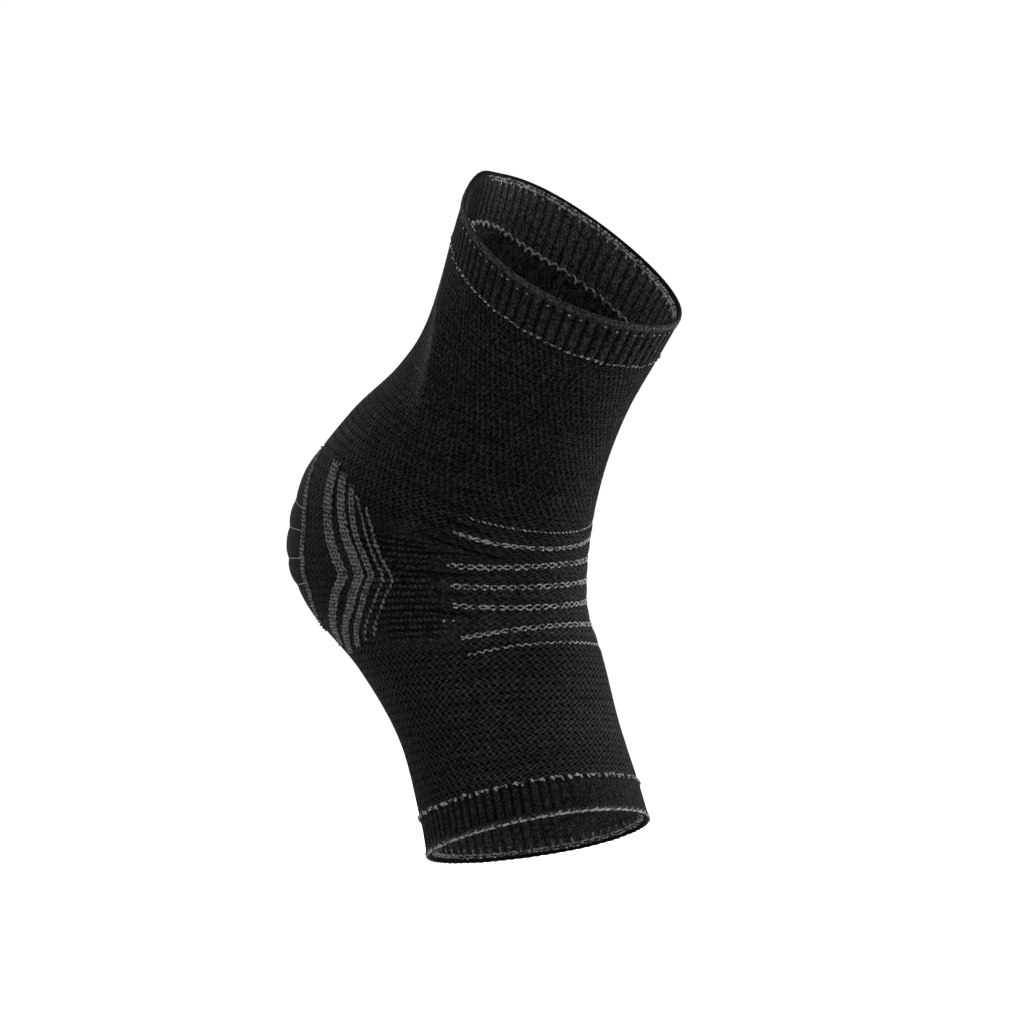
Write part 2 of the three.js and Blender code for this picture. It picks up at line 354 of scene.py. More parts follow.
def course_stations(side):
    """Station of each grey course at a side angle: a cubic through the table's four places."""
    factors = np.polyfit(COURSE_SIDES, INSTEP_COURSES.T, 3)
    side = np.clip(side, -55, 55)[None]
    first, second, third, last = factors.reshape((4, -1) + (1,) * (side.ndim - 1))
    return ((first * side + second) * side + third) * side + last


def line_number(station, lines):
    """Number of the line at a station, with a fraction between two lines."""
    return np.clip((station - lines[:-1]) / (lines[1:] - lines[:-1]), 0, 1).sum(0)


def instep_place(station, side):
    """Number of the grey course at a place of the instep, running on beyond the first and the last."""
    lines = course_stations(side)
    beyond = np.maximum(station - lines[-1], 0) / 0.4 - np.maximum(lines[0] - station, 0) / 0.3
    return line_number(station, lines) + beyond


def instep_zone(place, side):
    """Share of the instep's ridges, fading out at the sides and beyond the last courses."""
    last = len(INSTEP_COURSES) - 1
    zone = between(place, -0.8, 0.1, last - 0.1, last + 0.8)
    return zone * (1 - ease(np.abs(side), RIDGE_HALF_ANGLE - 20, RIDGE_HALF_ANGLE))


def ridge_shape(place):
    """Rounded ridge between two grey courses: 0 on a course and 1 halfway."""
    return np.abs(np.sin(np.pi * place)) ** 0.7


def crease_depth(station, side):
    """Narrow valleys along short lines: the depth falls off with the millimetres from the line."""
    depth = np.zeros(np.broadcast(station, side).shape)
    side = np.abs(side)
    for first_station, first_side, last_station, last_side, most in CREASES:
        share = np.clip((first_side - side) / (first_side - last_side), 0, 1)
        line = first_station + (last_station - first_station) * share
        millimetres = (station - line) * np.interp(side, (0, 90), STATION_LENGTHS)
        low, high = np.array((last_side, first_side)) - CREASE_FADE
        ends = between(side, low, low + 2 * CREASE_FADE, high, high + 2 * CREASE_FADE)
        depth = depth + most * ends * np.exp(-(millimetres / CREASE_HALF_WIDTH) ** 2)
    return depth


def fold_distance(station, side):
    """Millimetres behind the line of the leg's fold."""
    return (np.abs(side) - np.interp(station, FOLD_STATIONS, FOLD_SIDES)) * DEGREE_LENGTH


def leg_fold(station, side):
    """Soft fold: steep on its back side and long on its front side."""
    distance = fold_distance(station, side)
    across = np.exp(-(distance / np.where(distance > 0, *FOLD_WIDTHS)) ** 2)
    return across * between(station, *FOLD_STRETCH)


def panel_half_angle(station):
    return np.interp(station, PANEL_STATIONS, PANEL_HALF_ANGLES)


def panel_seat(station, side):
    """Depth of the heel panel's seat: full inside the panel's outline and 0 outside it."""
    across = (180 - np.abs(side)) / panel_half_angle(station)
    first, last = PANEL_STATIONS[0], PANEL_STATIONS[-1]
    ends = between(station, first, first + 0.12, last - 0.12, last)
    return PANEL_SINK * (1 - ease(across, 0.93, 1.0)) * ends


def zone_share(name, station, side):
    """Share of a zone of the knit at a place."""
    stations, sides = ZONES[name][:2]
    return between(station, *stations) * between(np.abs(side), *sides)


def pit_share(station, side):
    """Share of open pits that the zones leave."""
    share = 1.0
    for name, (_, _, lost, _) in ZONES.items():
        share = share * (1 - lost * zone_share(name, station, side))
    return share


def wave_sum(waves, wale, course):
    return sum(weight * np.cos(TAU * (across * wale + along * course)) for weight, across, along in waves)


def knit_height(station, side, wale, course):
    """All relief of the body's knit over the smooth skin."""
    leg = zone_share("leg", station, side)
    pits = wave_sum(PIT_WAVES, wale, course) * (1 - leg) + wave_sum(LEG_WAVES, wale, course) * leg
    purls = ease(wave_sum(PURL_WAVES, wale, course), *PURL_REACH)
    place = instep_place(station, side)
    height = -PIT_DEPTH * ease(pits, *PIT_REACH) * pit_share(station, side)
    height += PURL_HEIGHT * purls * zone_share("purls", station, side)
    height += FOLD_HEIGHT * leg_fold(station, side)
    height += RIDGE_HEIGHT * instep_zone(place, side) * (ridge_shape(place) - RIDGE_SINK)
    return height - crease_depth(station, side) - panel_seat(station, side)


def knit_tone_and_painted_shading(station, side):
    """Colour factor of the body's knit: changed by the zones, with painted shade in the creases and beside
    the grey courses, painted light on the ridges between the courses and on the top of the foot, and a
    painted strip of light just behind the leg's fold."""
    place = instep_place(station, side)
    # Painted shade in the grooves beside the grey courses and painted light on the ridges between them
    ridges = 1 + instep_zone(place, side) * (0.8 * ridge_shape(place) - 0.55)
    # Painted light in a strip just behind the leg's fold
    fold = between(fold_distance(station, side), -1.5, 1.5, 2, 14) * ease(station, 7.4, 9.2)
    # Painted light on the top of the foot and painted shade under it
    foot = 1 + 0.35 * (1 - ease(station, 2, 5)) * (1 - 1.4 * ease(np.abs(side), 50, 100))
    # The leg and shade zones add painted shade
    zones = 1 + sum(added * zone_share(name, station, side) for name, (_, _, _, added) in ZONES.items())
    # Painted shade in the creases
    creases = np.exp(-CREASE_PAINTED_SHADE * crease_depth(station, side))
    return foot * ridges * zones * creases * (1 + FOLD_PAINTED_LIGHT * fold)


# Meshes

def grid_quads(rows, columns, close_rows, close_columns):
    """Corner numbers of a grid's faces, closing the grid on itself where asked."""
    r = np.arange(rows if close_rows else rows - 1)
    c = np.arange(columns if close_columns else columns - 1)
    r, c = np.meshgrid(r, c, indexing="ij")
    next_r, next_c = (r + 1) % rows, (c + 1) % columns
    corners = [r * columns + c, r * columns + next_c, next_r * columns + next_c, next_r * columns + c]
    return np.stack(corners, -1).reshape(-1, 4)


def make_piece(name, points, quads, material, triangles=None, uv=None, shares=None):
    """New piece from points in millimetres, faces, a UV for each face corner and values for each point."""
    triangles = np.zeros((0, 3), int) if triangles is None else triangles
    points = points.reshape(-1, 3) * MM
    mesh = bpy.data.meshes.new(name)
    mesh.vertices.add(len(points))
    mesh.vertices.foreach_set("co", points.astype(np.float32).ravel())
    corners = np.concatenate([quads.ravel(), triangles.ravel()])
    starts = np.concatenate([np.arange(len(quads)) * 4, len(quads) * 4 + np.arange(len(triangles)) * 3])
    mesh.loops.add(len(corners))
    mesh.loops.foreach_set("vertex_index", corners.astype(np.int32))
    mesh.polygons.add(len(starts))
    mesh.polygons.foreach_set("loop_start", starts.astype(np.int32))
    mesh.polygons.foreach_set("use_smooth", np.ones(len(starts), bool))
    if uv is not None:
        layer = mesh.uv_layers.new(name="stitch")
        layer.uv.foreach_set("vector", uv.astype(np.float32).ravel())
    for share, values in (shares or {}).items():
        attribute = mesh.attributes.new(share, "FLOAT", "POINT")
        attribute.data.foreach_set("value", np.broadcast_to(values, len(points)).astype(np.float32))
    mesh.update(calc_edges=True)
    mesh.validate()
    mesh.set_sharp_from_angle(angle=math.radians(80))
    mesh.materials.append(material)
    piece = bpy.data.objects.new(name, mesh)
    bpy.context.scene.collection.objects.link(piece)
    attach(piece, "root")
    return piece


def ring_uv(rows, columns, across, along):
    """UV of a grid that closes both ways. Across gives each column's place, with one more for the seam."""
    r, c = np.meshgrid(np.arange(rows), np.arange(columns), indexing="ij")
    next_row = np.append(along[1:], along[0])
    u = np.stack([across[c], across[c + 1], across[c + 1], across[c]], -1)
    v = np.stack([along[r], along[r], next_row[r], next_row[r]], -1)
    return np.stack([u, v], -1).reshape(-1, 2)


def flat_size(round_path, along_path, layers):
    """Cut size in metres: the worn lengths divided by the stretch, with the length along split in layers."""
    round_length, along_length = lengths(round_path)[-1], lengths(along_path)[-1] / layers
    return round_length / STRETCH_ROUND * MM, along_length / STRETCH_ALONG * MM


def knit_wall(name, first_course, last_course, wales, material):
    """Closed wall of knit: the skin with its relief, row by row, and a plain lining under it."""
    rows = round((last_course - first_course) * ROWS_PER_COURSE) + 1
    outside = np.linspace(first_course, last_course, rows)
    courses = np.concatenate([outside, np.linspace(last_course, first_course, LINING_ROWS)])
    inside = np.arange(len(courses))[:, None] >= rows
    columns = wales * COLUMNS_PER_WALE
    wale = np.arange(columns + 1) / COLUMNS_PER_WALE
    station = np.interp(courses, COURSE_NUMBERS, COURSE_STATIONS)[:, None]
    angle = round_angle(station, wale[None, :-1] / wales)
    side = side_angle(angle)
    relief = knit_height(station, side, wale[None, :-1], courses[:, None])
    points = raised(station, angle, np.where(inside, -WALL - panel_seat(station, side), relief))
    shares = {
        "pits": pit_share(station, side), "purls": zone_share("purls", station, side),
        "fine": zone_share("leg", station, side), "tone_and_painted_shading": knit_tone_and_painted_shading(station, side),
    }
    for share, value in LINING_SHARES.items():
        shares[share] = np.where(inside, value, shares[share]).ravel()
    quads, uv = grid_quads(len(points), columns, True, True), ring_uv(len(points), columns, wale, courses)
    piece = make_piece(name, points, quads, material, uv=uv, shares=shares)
    return piece, flat_size(points[rows // 2], points[:rows, columns // 4], 1)


def cuff_height(seam, rim):
    """Width of a cuff from its seam to its rim, measured in front."""
    return np.linalg.norm(skin(seam, 0.0) - skin(rim, 0.0))


def cuff_station(seam, rim, below):
    """Station at a distance below a cuff's rim."""
    return rim + (seam - rim) * below / cuff_height(seam, rim)


def rib_angle(turn, spread):
    """Angle at a share of the way round a cuff whose ribs are spread wider in front."""
    return TAU * turn + spread * np.sin(TAU * turn)


def bend_share(angle, bends):
    """Share of a table's bends: soft bumps round a side angle, each by the shorter way round to it."""
    side = side_angle(angle)
    total = 0.0
    for middle, half_width in bends:
        away = (side - middle + 180) % 360 - 180
        total = total + np.exp(-(away / half_width) ** 2)
    return total


def hem_drop(angle):
    """Share by which the hem inside the leg cuff hangs lower, on the far side."""
    return between(np.degrees(angle) % 360, *HEM_DROP_ANGLES)


def groove(rib):
    """1 in the narrow groove between two ribs and 0 over the rest of a rib."""
    return np.abs(np.cos(np.pi * rib)) ** 7


def cuff(name, place, material, drop, bends, plain_front):
    """Ribbed cuff: a profile carried round the sleeve, up the ribbed outside, round the rim and down the
    inside, which can hang lower by drop and carry painted shade in its bends. The ribs can be plainer in
    front."""
    seam, rim, spread = place
    height = cuff_height(seam, rim)
    columns = RIBS * COLUMNS_PER_RIB
    turn = np.arange(columns) / columns
    angle = rib_angle(turn, spread)
    outer = np.linspace(height, RIM_RADIUS, OUTER_ROWS + 1)[:-1]
    roll = np.linspace(0, np.pi, ROLL_ROWS)
    inner = np.linspace(RIM_RADIUS, height, INNER_ROWS + 1)[1:]

    def profile(on_outer, on_roll, on_inner):
        """Values down the profile, as a column."""
        return np.concatenate([on_outer + 0 * outer, on_roll + 0 * roll, on_inner + 0 * inner])[:, None]

    below = profile(outer, RIM_RADIUS * (1 - np.sin(roll)), inner)
    below = below + drop * hem_drop(angle) * profile(0, 0, inner / height)
    bulge = 0.2 * np.sin(np.pi * np.clip((outer - RIM_RADIUS) / RIM_BAND, 0, 1))
    rim_lift = RIM_RADIUS * (np.cos(roll) - 1)
    inner_lift = -2 * RIM_RADIUS - (CUFF_WALL - 2 * RIM_RADIUS) * ease(inner, RIM_RADIUS, RIM_BAND + 1)
    outer_ribs = profile(ease(outer, RIM_BAND + 0.2, RIM_BAND + 1.2), 0, 0)
    inner_ribs = profile(0, 0, ease(inner, RIM_BAND, RIM_BAND + 1.5))
    side = side_angle(angle)
    plain = plain_front * (1 - ease(side, 15, 40)) * ease(side, -140, -100)
    outer_groove = groove(turn * RIBS) * (1 - 0.8 * plain)
    inner_groove = groove(turn * INNER_RIBS) * (1 - 0.8 * plain)
    ribs = outer_ribs * outer_groove - inner_ribs * (inner_groove - 1) * 0.4
    lift = profile(bulge, rim_lift, inner_lift) - RIB_DEPTH * ribs
    points = raised(cuff_station(seam, rim, below), angle[None], lift)
    band = profile(1 - ease(outer, RIM_BAND - 0.3, RIM_BAND + 0.2), ease(np.cos(roll), -0.1, 1), 0)
    edge = profile(0, ease(roll, 1.2, 2.0), 0)
    inside = profile(0, 0, 1)
    # Painted shade in the grooves between the ribs
    tone_and_painted_shading = (1 - 0.88 * outer_ribs * outer_groove) * (1 - 0.75 * inner_ribs * inner_groove ** 1.4)
    # Painted light on the rim band and all over the inside, and painted shade on the roll's inner edge
    tone_and_painted_shading = tone_and_painted_shading * (1 + 0.9 * band + 2.2 * inside) * (1 - 0.7 * edge)
    # Painted shade in the bends inside the leg cuff
    tone_and_painted_shading = tone_and_painted_shading * (1 - 0.85 * bends * inside * bend_share(angle, INSIDE_PAINTED_SHADE))
    tone_and_painted_shading = tone_and_painted_shading * (1 - 0.2 * plain * (1 - inside))
    along = lengths(points[:, 0]) / RIB_COURSE
    if seam > rim:
        points, along, tone_and_painted_shading = points[::-1], along[::-1], tone_and_painted_shading[::-1]
    uv = ring_uv(len(points), columns, np.arange(columns + 1) * WALES_PER_RIB / COLUMNS_PER_RIB, along)
    quads = grid_quads(len(points), columns, True, True)
    shares = {"pits": 0.5, "purls": 0.0, "fine": 1.0, "tone_and_painted_shading": (tone_and_painted_shading * np.ones(columns)).ravel()}
    piece = make_piece(name, points, quads, material, uv=uv, shares=shares)
    return piece, flat_size(points[len(points) // 4], points[:, columns // 4], 2)


def cross_stations(across):
    """Station of each cross line, at a share of the way from the heel panel's middle to its edge."""
    middle, edge = CROSS_LINES.T.reshape((2, -1) + (1,) * across.ndim)
    return middle + (edge - middle) * across ** 2


def heel_panel(name, material):
    """Quilted panel: a slab whose upper face swells between the cross lines and falls at the outline."""
    first, last = PANEL_STATIONS[0], PANEL_STATIONS[-1]
    station = np.linspace(first, last, PANEL_ROWS)[:, None] * np.ones(PANEL_COLUMNS)
    across = np.linspace(-1, 1, PANEL_COLUMNS)[None]
    angle = np.pi + across * np.radians(panel_half_angle(station))
    lines = cross_stations(across)
    lines = np.concatenate([np.full_like(lines[:1], first), lines, np.full_like(lines[:1], last)])
    puff = np.abs(np.sin(np.pi * line_number(station, lines))) ** 0.55
    edge = (1 - np.abs(across) ** 8) * (1 - np.abs(2 * (station - first) / (last - first) - 1) ** 16)
    top = raised(station, angle, PANEL_OUTLINE + PANEL_PUFF * puff * edge + 0.15 * edge)
    under = raised(station, angle, np.full(station.shape, PANEL_UNDER))
    count = PANEL_ROWS * PANEL_COLUMNS
    quads = grid_quads(PANEL_ROWS, PANEL_COLUMNS, False, False)
    numbers = np.arange(count).reshape(PANEL_ROWS, PANEL_COLUMNS)
    rim = np.concatenate([numbers[0], numbers[1:, -1], numbers[-1, -2::-1], numbers[-2:0:-1, 0]])
    after = np.roll(rim, -1)
    sides = np.stack([rim, rim + count, after + count, after], -1)
    all_quads = np.concatenate([quads, quads[:, ::-1] + count, sides])
    points = np.concatenate([top.reshape(-1, 3), under.reshape(-1, 3)])
    flat = np.stack([(angle / TAU * PANEL_WALES).ravel(), (station * PANEL_COURSES).ravel()], -1)
    uv = np.concatenate([flat, flat])[all_quads.ravel()]
    # Painted shade in the quilting's valleys between the swells
    tone_and_painted_shading = np.concatenate([(0.35 + 0.65 * puff).ravel(), np.ones(count)])
    shares = {"pits": 0.6, "purls": 0.0, "fine": 1.0, "tone_and_painted_shading": tone_and_painted_shading}
    return make_piece(name, points, all_quads, material, uv=uv, shares=shares)


# Yarn

def tubes(paths, normals, radius, sides=5, closed=False):
    """Round strands: at each point of a path a ring of radius times (normal cos + side sin), where the side
    is square to the path and the normal. Open strands end in a point. Gives points, quads and triangles."""
    count, steps = paths.shape[:2]
    tangent = np.roll(paths, -1, 1) - np.roll(paths, 1, 1) if closed else np.gradient(paths, axis=1)
    tangent = unit(tangent)
    side = unit(np.cross(tangent, normals))
    normal = np.cross(side, tangent)
    turn = np.arange(sides) / sides * TAU
    spoke = normal[:, :, None] * np.cos(turn)[:, None] + side[:, :, None] * np.sin(turn)[:, None]
    radius = np.broadcast_to(radius, (count, steps))[..., None]
    points = (paths[:, :, None] + radius[..., None] * spoke).reshape(-1, 3)
    quads = grid_quads(steps, sides, closed, True)[:, ::-1]
    quads = (quads[None] + (np.arange(count) * steps * sides)[:, None, None]).reshape(-1, 4)
    if closed:
        return points, quads, np.zeros((0, 3), int)
    tip = 0.6 * radius
    first_tips = paths[:, 0] - tangent[:, 0] * tip[:, 0]
    last_tips = paths[:, -1] + tangent[:, -1] * tip[:, -1]
    tips = np.stack([first_tips, last_tips], 1)
    start = np.arange(count)[:, None] * steps * sides + np.arange(sides)
    after = np.roll(start, -1, 1)
    end = (steps - 1) * sides
    number = len(points) + 2 * np.arange(count)[:, None] + np.zeros(sides, int)
    fans = [np.stack([start, after, number], -1), np.stack([after + end, start + end, number + 1], -1)]
    return np.concatenate([points, tips.reshape(-1, 3)]), quads, np.concatenate(fans).reshape(-1, 3)


def beside(station, angle, offset, lift):
    """Points moved off a line on the skin, by offset along the sleeve and lift outwards, and the normals."""
    up, _, normal = directions(station, angle)
    point = skin(station, angle) + up * np.asarray(offset)[..., None] + normal * np.asarray(lift)[..., None]
    return point, normal


def yarn_piece(name, parts, material):
    """One piece from several lists of points, quads and triangles."""
    points = np.concatenate([part[0] for part in parts])
    starts = np.cumsum([0] + [len(part[0]) for part in parts[:-1]])
    quads = np.concatenate([part[1] + start for part, start in zip(parts, starts)])
    triangles = np.concatenate([part[2] + start for part, start in zip(parts, starts)])
    return make_piece(name, points, quads, material, triangles=triangles)


def chain_strands(station, angle, height, lift):
    """Two strands of a grey course, in rings of uneven height, lean and thickness: round arches, and
    below them short dots that dive under where the arches meet."""
    length = lengths(skin(station, angle))
    ring = length / RING_PITCH
    bead = 1 + 0.25 * np.sin(TAU * length / BEAD_PITCH)
    rings = np.arange(math.ceil(ring[-1]) + 1)
    taller, lean, thicker = (np.interp(ring, rings, RANDOM.normal(size=len(rings))) for _ in range(3))
    swing = np.abs(np.sin(np.pi * (ring + 0.07 * lean)))
    tall = height * (1 + 0.14 * taller)
    thick = YARN_RADIUS * (1 + 0.12 * thicker)
    arch, normal = beside(station, angle, tall * (1.4 * swing ** 0.6 - 0.55), lift + 0.1)
    dot, _ = beside(station, angle, tall * (0.1 - 1.1 * swing), lift + 0.15 - 0.5 * (1 - swing) ** 1.5)
    arches = tubes(arch[None], normal[None], bead * thick * (1.1 - 0.2 * swing))
    dots = tubes(dot[None], normal[None], bead * thick * (0.5 + 0.6 * swing))
    return [arches, dots]


def yarn_specks():
    """Single light stitches beside the ends of the grey courses, on both sides."""
    station, side, radius = np.tile(np.array(SPECKS).T, 2)
    angle = np.radians(side) * np.repeat((1, -1), len(SPECKS))
    point, normal = beside(station, angle, np.zeros(len(side)), np.full(len(side), 0.1))
    around = directions(station, angle)[1]
    path = point[:, None] + around[:, None] * np.linspace(-0.25, 0.25, 4)[:, None]
    return tubes(path, np.broadcast_to(normal[:, None], path.shape), radius[:, None])


def instep_yarn():
    """Grey courses: chains of two strands that swing against each other, single zigzags and short dashes."""
    parts = [yarn_specks()]
    for number, style in enumerate(COURSE_STYLES):
        side = np.linspace(-COURSE_ENDS[number], COURSE_ENDS[number], COURSE_STEPS)
        angle = -np.radians(side)
        station = course_stations(side)[number]
        lift = 0.1 - RIDGE_SINK * RIDGE_HEIGHT * instep_zone(np.float64(number), side)
        if style in CHAIN_HALF_HEIGHTS:
            parts += chain_strands(station, angle, CHAIN_HALF_HEIGHTS[style], lift)
        elif style == "zigzag":
            swing = ZIGZAG_HALF_HEIGHT * np.sin(TAU * lengths(skin(station, angle)) / ZIGZAG_PITCH)
            path, normal = beside(station, angle, swing, lift)
            parts.append(tubes(path[None], normal[None], 0.24))
        else:
            picks = np.arange(4, COURSE_STEPS - 12, 11)[:, None] + np.linspace(0, 7, 6)
            places = np.arange(COURSE_STEPS)
            dash_station, dash_angle = np.interp(picks, places, station), np.interp(picks, places, angle)
            slant = np.linspace(-0.2, 0.2, 6) * np.ones_like(picks)
            path, normal = beside(dash_station, dash_angle, slant, np.interp(picks, places, lift))
            parts.append(tubes(path, normal, RANDOM.uniform(0.16, 0.3, size=(len(picks), 1))))
    return parts


def yarn_net(station, angle, holes, width, strand_radius, rung_radius):
    """Net of yarn along a line: knotted upright strands, one more than the holes across, that spread and
    close from stitch to stitch, and drooping rungs at an even pitch."""
    height = lengths(skin(station, np.full_like(angle, angle.mean())))
    _, around, normal = directions(station, angle)
    spread = width * (1 + 0.2 * np.cos(TAU * height / KNOT_PITCH))
    knots = strand_radius * (1 + 0.3 * np.cos(TAU * height / RUNG_PITCH))
    parts = []
    for strand in range(holes + 1):
        offset = (strand - holes / 2) * spread
        path = skin(station, angle) + around * offset[:, None] + normal * 0.15
        parts.append(tubes(path[None], normal[None], knots))
    even = np.arange(RUNG_PITCH, height[-1], RUNG_PITCH)
    even_station, even_angle = np.interp(even, height, station), np.interp(even, height, angle)
    up, around, normal = directions(even_station, even_angle)
    across = np.linspace(-holes / 2, holes / 2, 6 * holes + 1)
    droop = 0.2 * np.cos(TAU * (across + holes / 2))
    path = skin(even_station, even_angle)[:, None] + around[:, None] * (across * width)[:, None]
    path = path + normal[:, None] * (0.25 + droop)[:, None] + up[:, None] * droop[:, None]
    thick = rung_radius * RANDOM.uniform(0.75, 1.2, size=(len(even), 1))
    parts.append(tubes(path, np.broadcast_to(normal[:, None], path.shape), thick))
    return parts


def yarn_stitches(station, angle):
    """Row of short stitches along a line at an even pitch, swaying to either side by turns, each with its
    own slant and thickness."""
    length = lengths(skin(station, angle))
    even = np.arange(0.5 * STITCH_PITCH, length[-1] - 0.5 * STITCH_PITCH, STITCH_PITCH)[:, None]
    reach = np.linspace(-0.3, 0.3, 5)
    place = even + reach * STITCH_PITCH
    even_station, even_angle = np.interp(place, length, station), np.interp(place, length, angle)
    _, around, normal = directions(even_station, even_angle)
    sway = STITCH_SWAY * np.cos(np.pi * even / STITCH_PITCH)
    slant = RANDOM.normal(0.25, 0.25, size=even.shape) * reach / reach[-1] + sway
    arch = (0.2 - 2 * reach ** 2)[:, None]
    path = skin(even_station, even_angle) + around * slant[..., None] + normal * arch
    return tubes(path, normal, RANDOM.uniform(0.38, 0.6, size=even.shape))


def stripe_path(stations, sides):
    """Stations and angles along a stripe, with rounded bends: each is the mean of the places near it."""
    share = np.linspace(0, len(stations) - 1, STRIPE_STEPS)
    numbers = np.arange(len(stations))
    first, last = np.maximum(0, 2 * share - numbers[-1]), np.minimum(numbers[-1], 2 * share)
    near = np.clip(share[:, None] + np.linspace(-0.2, 0.2, 13), first[:, None], last[:, None])
    return np.interp(near, numbers, stations).mean(1), np.radians(np.interp(near, numbers, sides).mean(1))


def heel_nets():
    """Wide stripes of the bands, on both sides of the heel."""
    parts = []
    for stations, sides, holes, width in NET_STRIPES:
        station, angle = stripe_path(stations, sides)
        for mirror in (-1, 1):
            parts += yarn_net(station, mirror * angle, holes, width, 0.4, 0.42)
    return parts


def heel_stitches():
    """Narrow stripes of the bands, on both sides of the heel."""
    parts = []
    for stations, sides in STITCH_STRIPES:
        station, angle = stripe_path(stations, sides)
        parts += [yarn_stitches(station, mirror * angle) for mirror in (-1, 1)]
    return parts


def heel_ladder():
    """Grey yarn of the heel panel: a net with one hole along each edge and a strand in each cross line."""
    parts = []
    station = np.linspace(PANEL_STATIONS[0] + 0.02, PANEL_STATIONS[-1] - 0.02, STRIPE_STEPS)
    half = np.radians(panel_half_angle(station))
    for mirror in (1, -1):
        parts += yarn_net(station, np.pi + mirror * half, 1, 2.1, 0.26, 0.4)
    across = np.linspace(-1, 1, 90)
    for line in cross_stations(across):
        angle = np.pi + across * np.radians(panel_half_angle(line))
        path, normal = beside(line, angle, 0 * line, 0 * line - 0.05)
        parts.append(tubes(path[None], normal[None], 0.21))
    return parts


def rib_marks(place, count, below, lift, start, end, radius, phase=0.5, vary=1.0, sink=0.0, drop=0.0):
    """A short strand at each of count ribs, at a distance below the rim. Start and end give the share of
    a rib beside its middle and the millimetres up the cuff. Places and thickness vary. Strands can sink
    away where the leg rim bends sharply, and drop with the hem inside it."""
    seam, rim, spread = place
    shift, slip, thick = vary * np.clip(RANDOM.normal(size=(3, count, 1)), -2, 2)
    rib = np.arange(count)[:, None] + phase + np.linspace(start[0], end[0], 5) + 0.06 * shift
    angle = rib_angle(rib / count, spread)
    station = cuff_station(seam, rim, below + drop * hem_drop(angle))
    offset = (np.linspace(start[1], end[1], 5) + 0.12 * slip) * np.sign(rim - seam)
    bend = sink * np.clip(1.3 * bend_share(angle, RIM_BENDS), 0, 1)
    path, normal = beside(station, angle, offset, lift + 0.8 * bend)
    return tubes(path, normal, radius * (1 + 0.15 * thick) * (1 - bend))


def rim_wave(place, count, below, lift, swing, radius, drop=0.0):
    """Closed zigzag strand round a cuff, at a distance below its rim, with a wave to each of count ribs, of
    uneven height and thickness."""
    seam, rim, spread = place
    turn = np.arange(count * 8) / (count * 8)
    rib = turn * count
    angle = rib_angle(turn, spread)
    station = cuff_station(seam, rim, below + drop * hem_drop(angle))
    tall, thick = (np.interp(rib, np.arange(count), RANDOM.uniform(0.6, 1.4, count)) for _ in range(2))
    path, normal = beside(station, angle, swing * tall * np.sin(TAU * rib), np.full(angle.shape, lift))
    return tubes(path[None], normal[None], radius * (0.5 + 0.5 * thick), closed=True)


def leg_cuff_yarn():
    """Grey yarn of the leg cuff: dots under the rim, dashes on the seam, and rows and a zigzag inside."""
    marks = partial(rib_marks, LEG_CUFF)
    seam = cuff_height(LEG_SEAM, LEG_RIM) + 0.1
    inner = -CUFF_WALL
    hem = {"phase": 0.75, "vary": 2.0, "drop": LEG_HEM_DROP}
    return [
        # count below lift start end radius, and for the zigzag count below lift swing radius
        marks(RIBS, 3.4, 0.0, (-0.08, 0), (0.08, 0), 0.22, vary=2.0),
        marks(SEAM_STITCHES, seam, 0.0, (-0.4, -0.1), (0.4, 0.1), 0.1, vary=2.0),
        marks(SEAM_STITCHES, seam, 0.1, (-0.14, -0.15), (0.12, 0.2), 0.28, vary=2.0),
        marks(RIM_STITCHES, 1.6, inner + 0.1, (-0.3, 0), (0.3, 0), 0.44, sink=0.9),
        marks(RIM_STITCHES, 2.6, inner - 0.1, (-0.36, 0), (0.36, 0), 0.52, phase=0.0, sink=0.9),
        marks(INNER_RIBS, 3.7, inner - 0.1, (0, -0.6), (0, 0.7), 0.5, sink=0.9),
        rim_wave(LEG_CUFF, INNER_RIBS, seam, inner, 0.5, 0.52, drop=LEG_HEM_DROP),
        marks(INNER_RIBS, seam + 0.4, inner, (-0.1, -0.4), (0.05, 0.4), 0.48, **hem),
    ]


def foot_cuff_yarn():
    """Grey yarn of the foot cuff: stitches in groups on the seam, a line on the rim and ticks inside."""
    marks = partial(rib_marks, FOOT_CUFF)
    seam = cuff_height(FOOT_SEAM, FOOT_RIM) - 0.2
    inner = -CUFF_WALL
    groups = RIBS // 2
    return [
        # count below lift start end radius, and for the lines count below lift swing radius
        marks(groups, seam, 0.15, (-0.34, -0.4), (-0.25, 0.6), 0.44, vary=1.4),
        marks(groups, seam, 0.15, (-0.08, -0.4), (0.06, 0.0), 0.4, vary=1.4),
        marks(groups, seam, 0.15, (0.25, -0.4), (0.3, 0.6), 0.44, vary=1.4),
        marks(groups, seam, 0.05, (-0.3, -0.3), (0.3, -0.3), 0.15),
        rim_wave(FOOT_CUFF, RIBS, 0.3, 0.0, 0.1, 0.36),
        marks(RIBS, 0.7, 0.0, (-0.1, 0.2), (0.1, -0.3), 0.36, vary=1.5),
        rim_wave(FOOT_CUFF, INNER_RIBS, 2.2, inner, 0.12, 0.36),
        marks(RIM_STITCHES, 1.4, inner + 0.15, (-0.3, 0), (0.3, 0), 0.3, vary=1.5),
        marks(INNER_RIBS, 2.9, inner - 0.05, (0, 0.3), (0, -1.4), 0.34),
    ]


# Finishes

def add_node(tree, kind, inputs=None, **settings):
    """New node with its settings, and with each input either linked to a socket or set to a value."""
    node = tree.nodes.new(kind)
    for key, value in settings.items():
        setattr(node, key, value)
    for socket, value in (inputs or {}).items():
        if isinstance(value, bpy.types.NodeSocket):
            tree.links.new(value, node.inputs[socket])
        else:
            node.inputs[socket].default_value = value
    return node


def calc(tree, operation, first, second=0.0, third=0.0):
    return add_node(tree, "ShaderNodeMath", {0: first, 1: second, 2: third}, operation=operation).outputs[0]


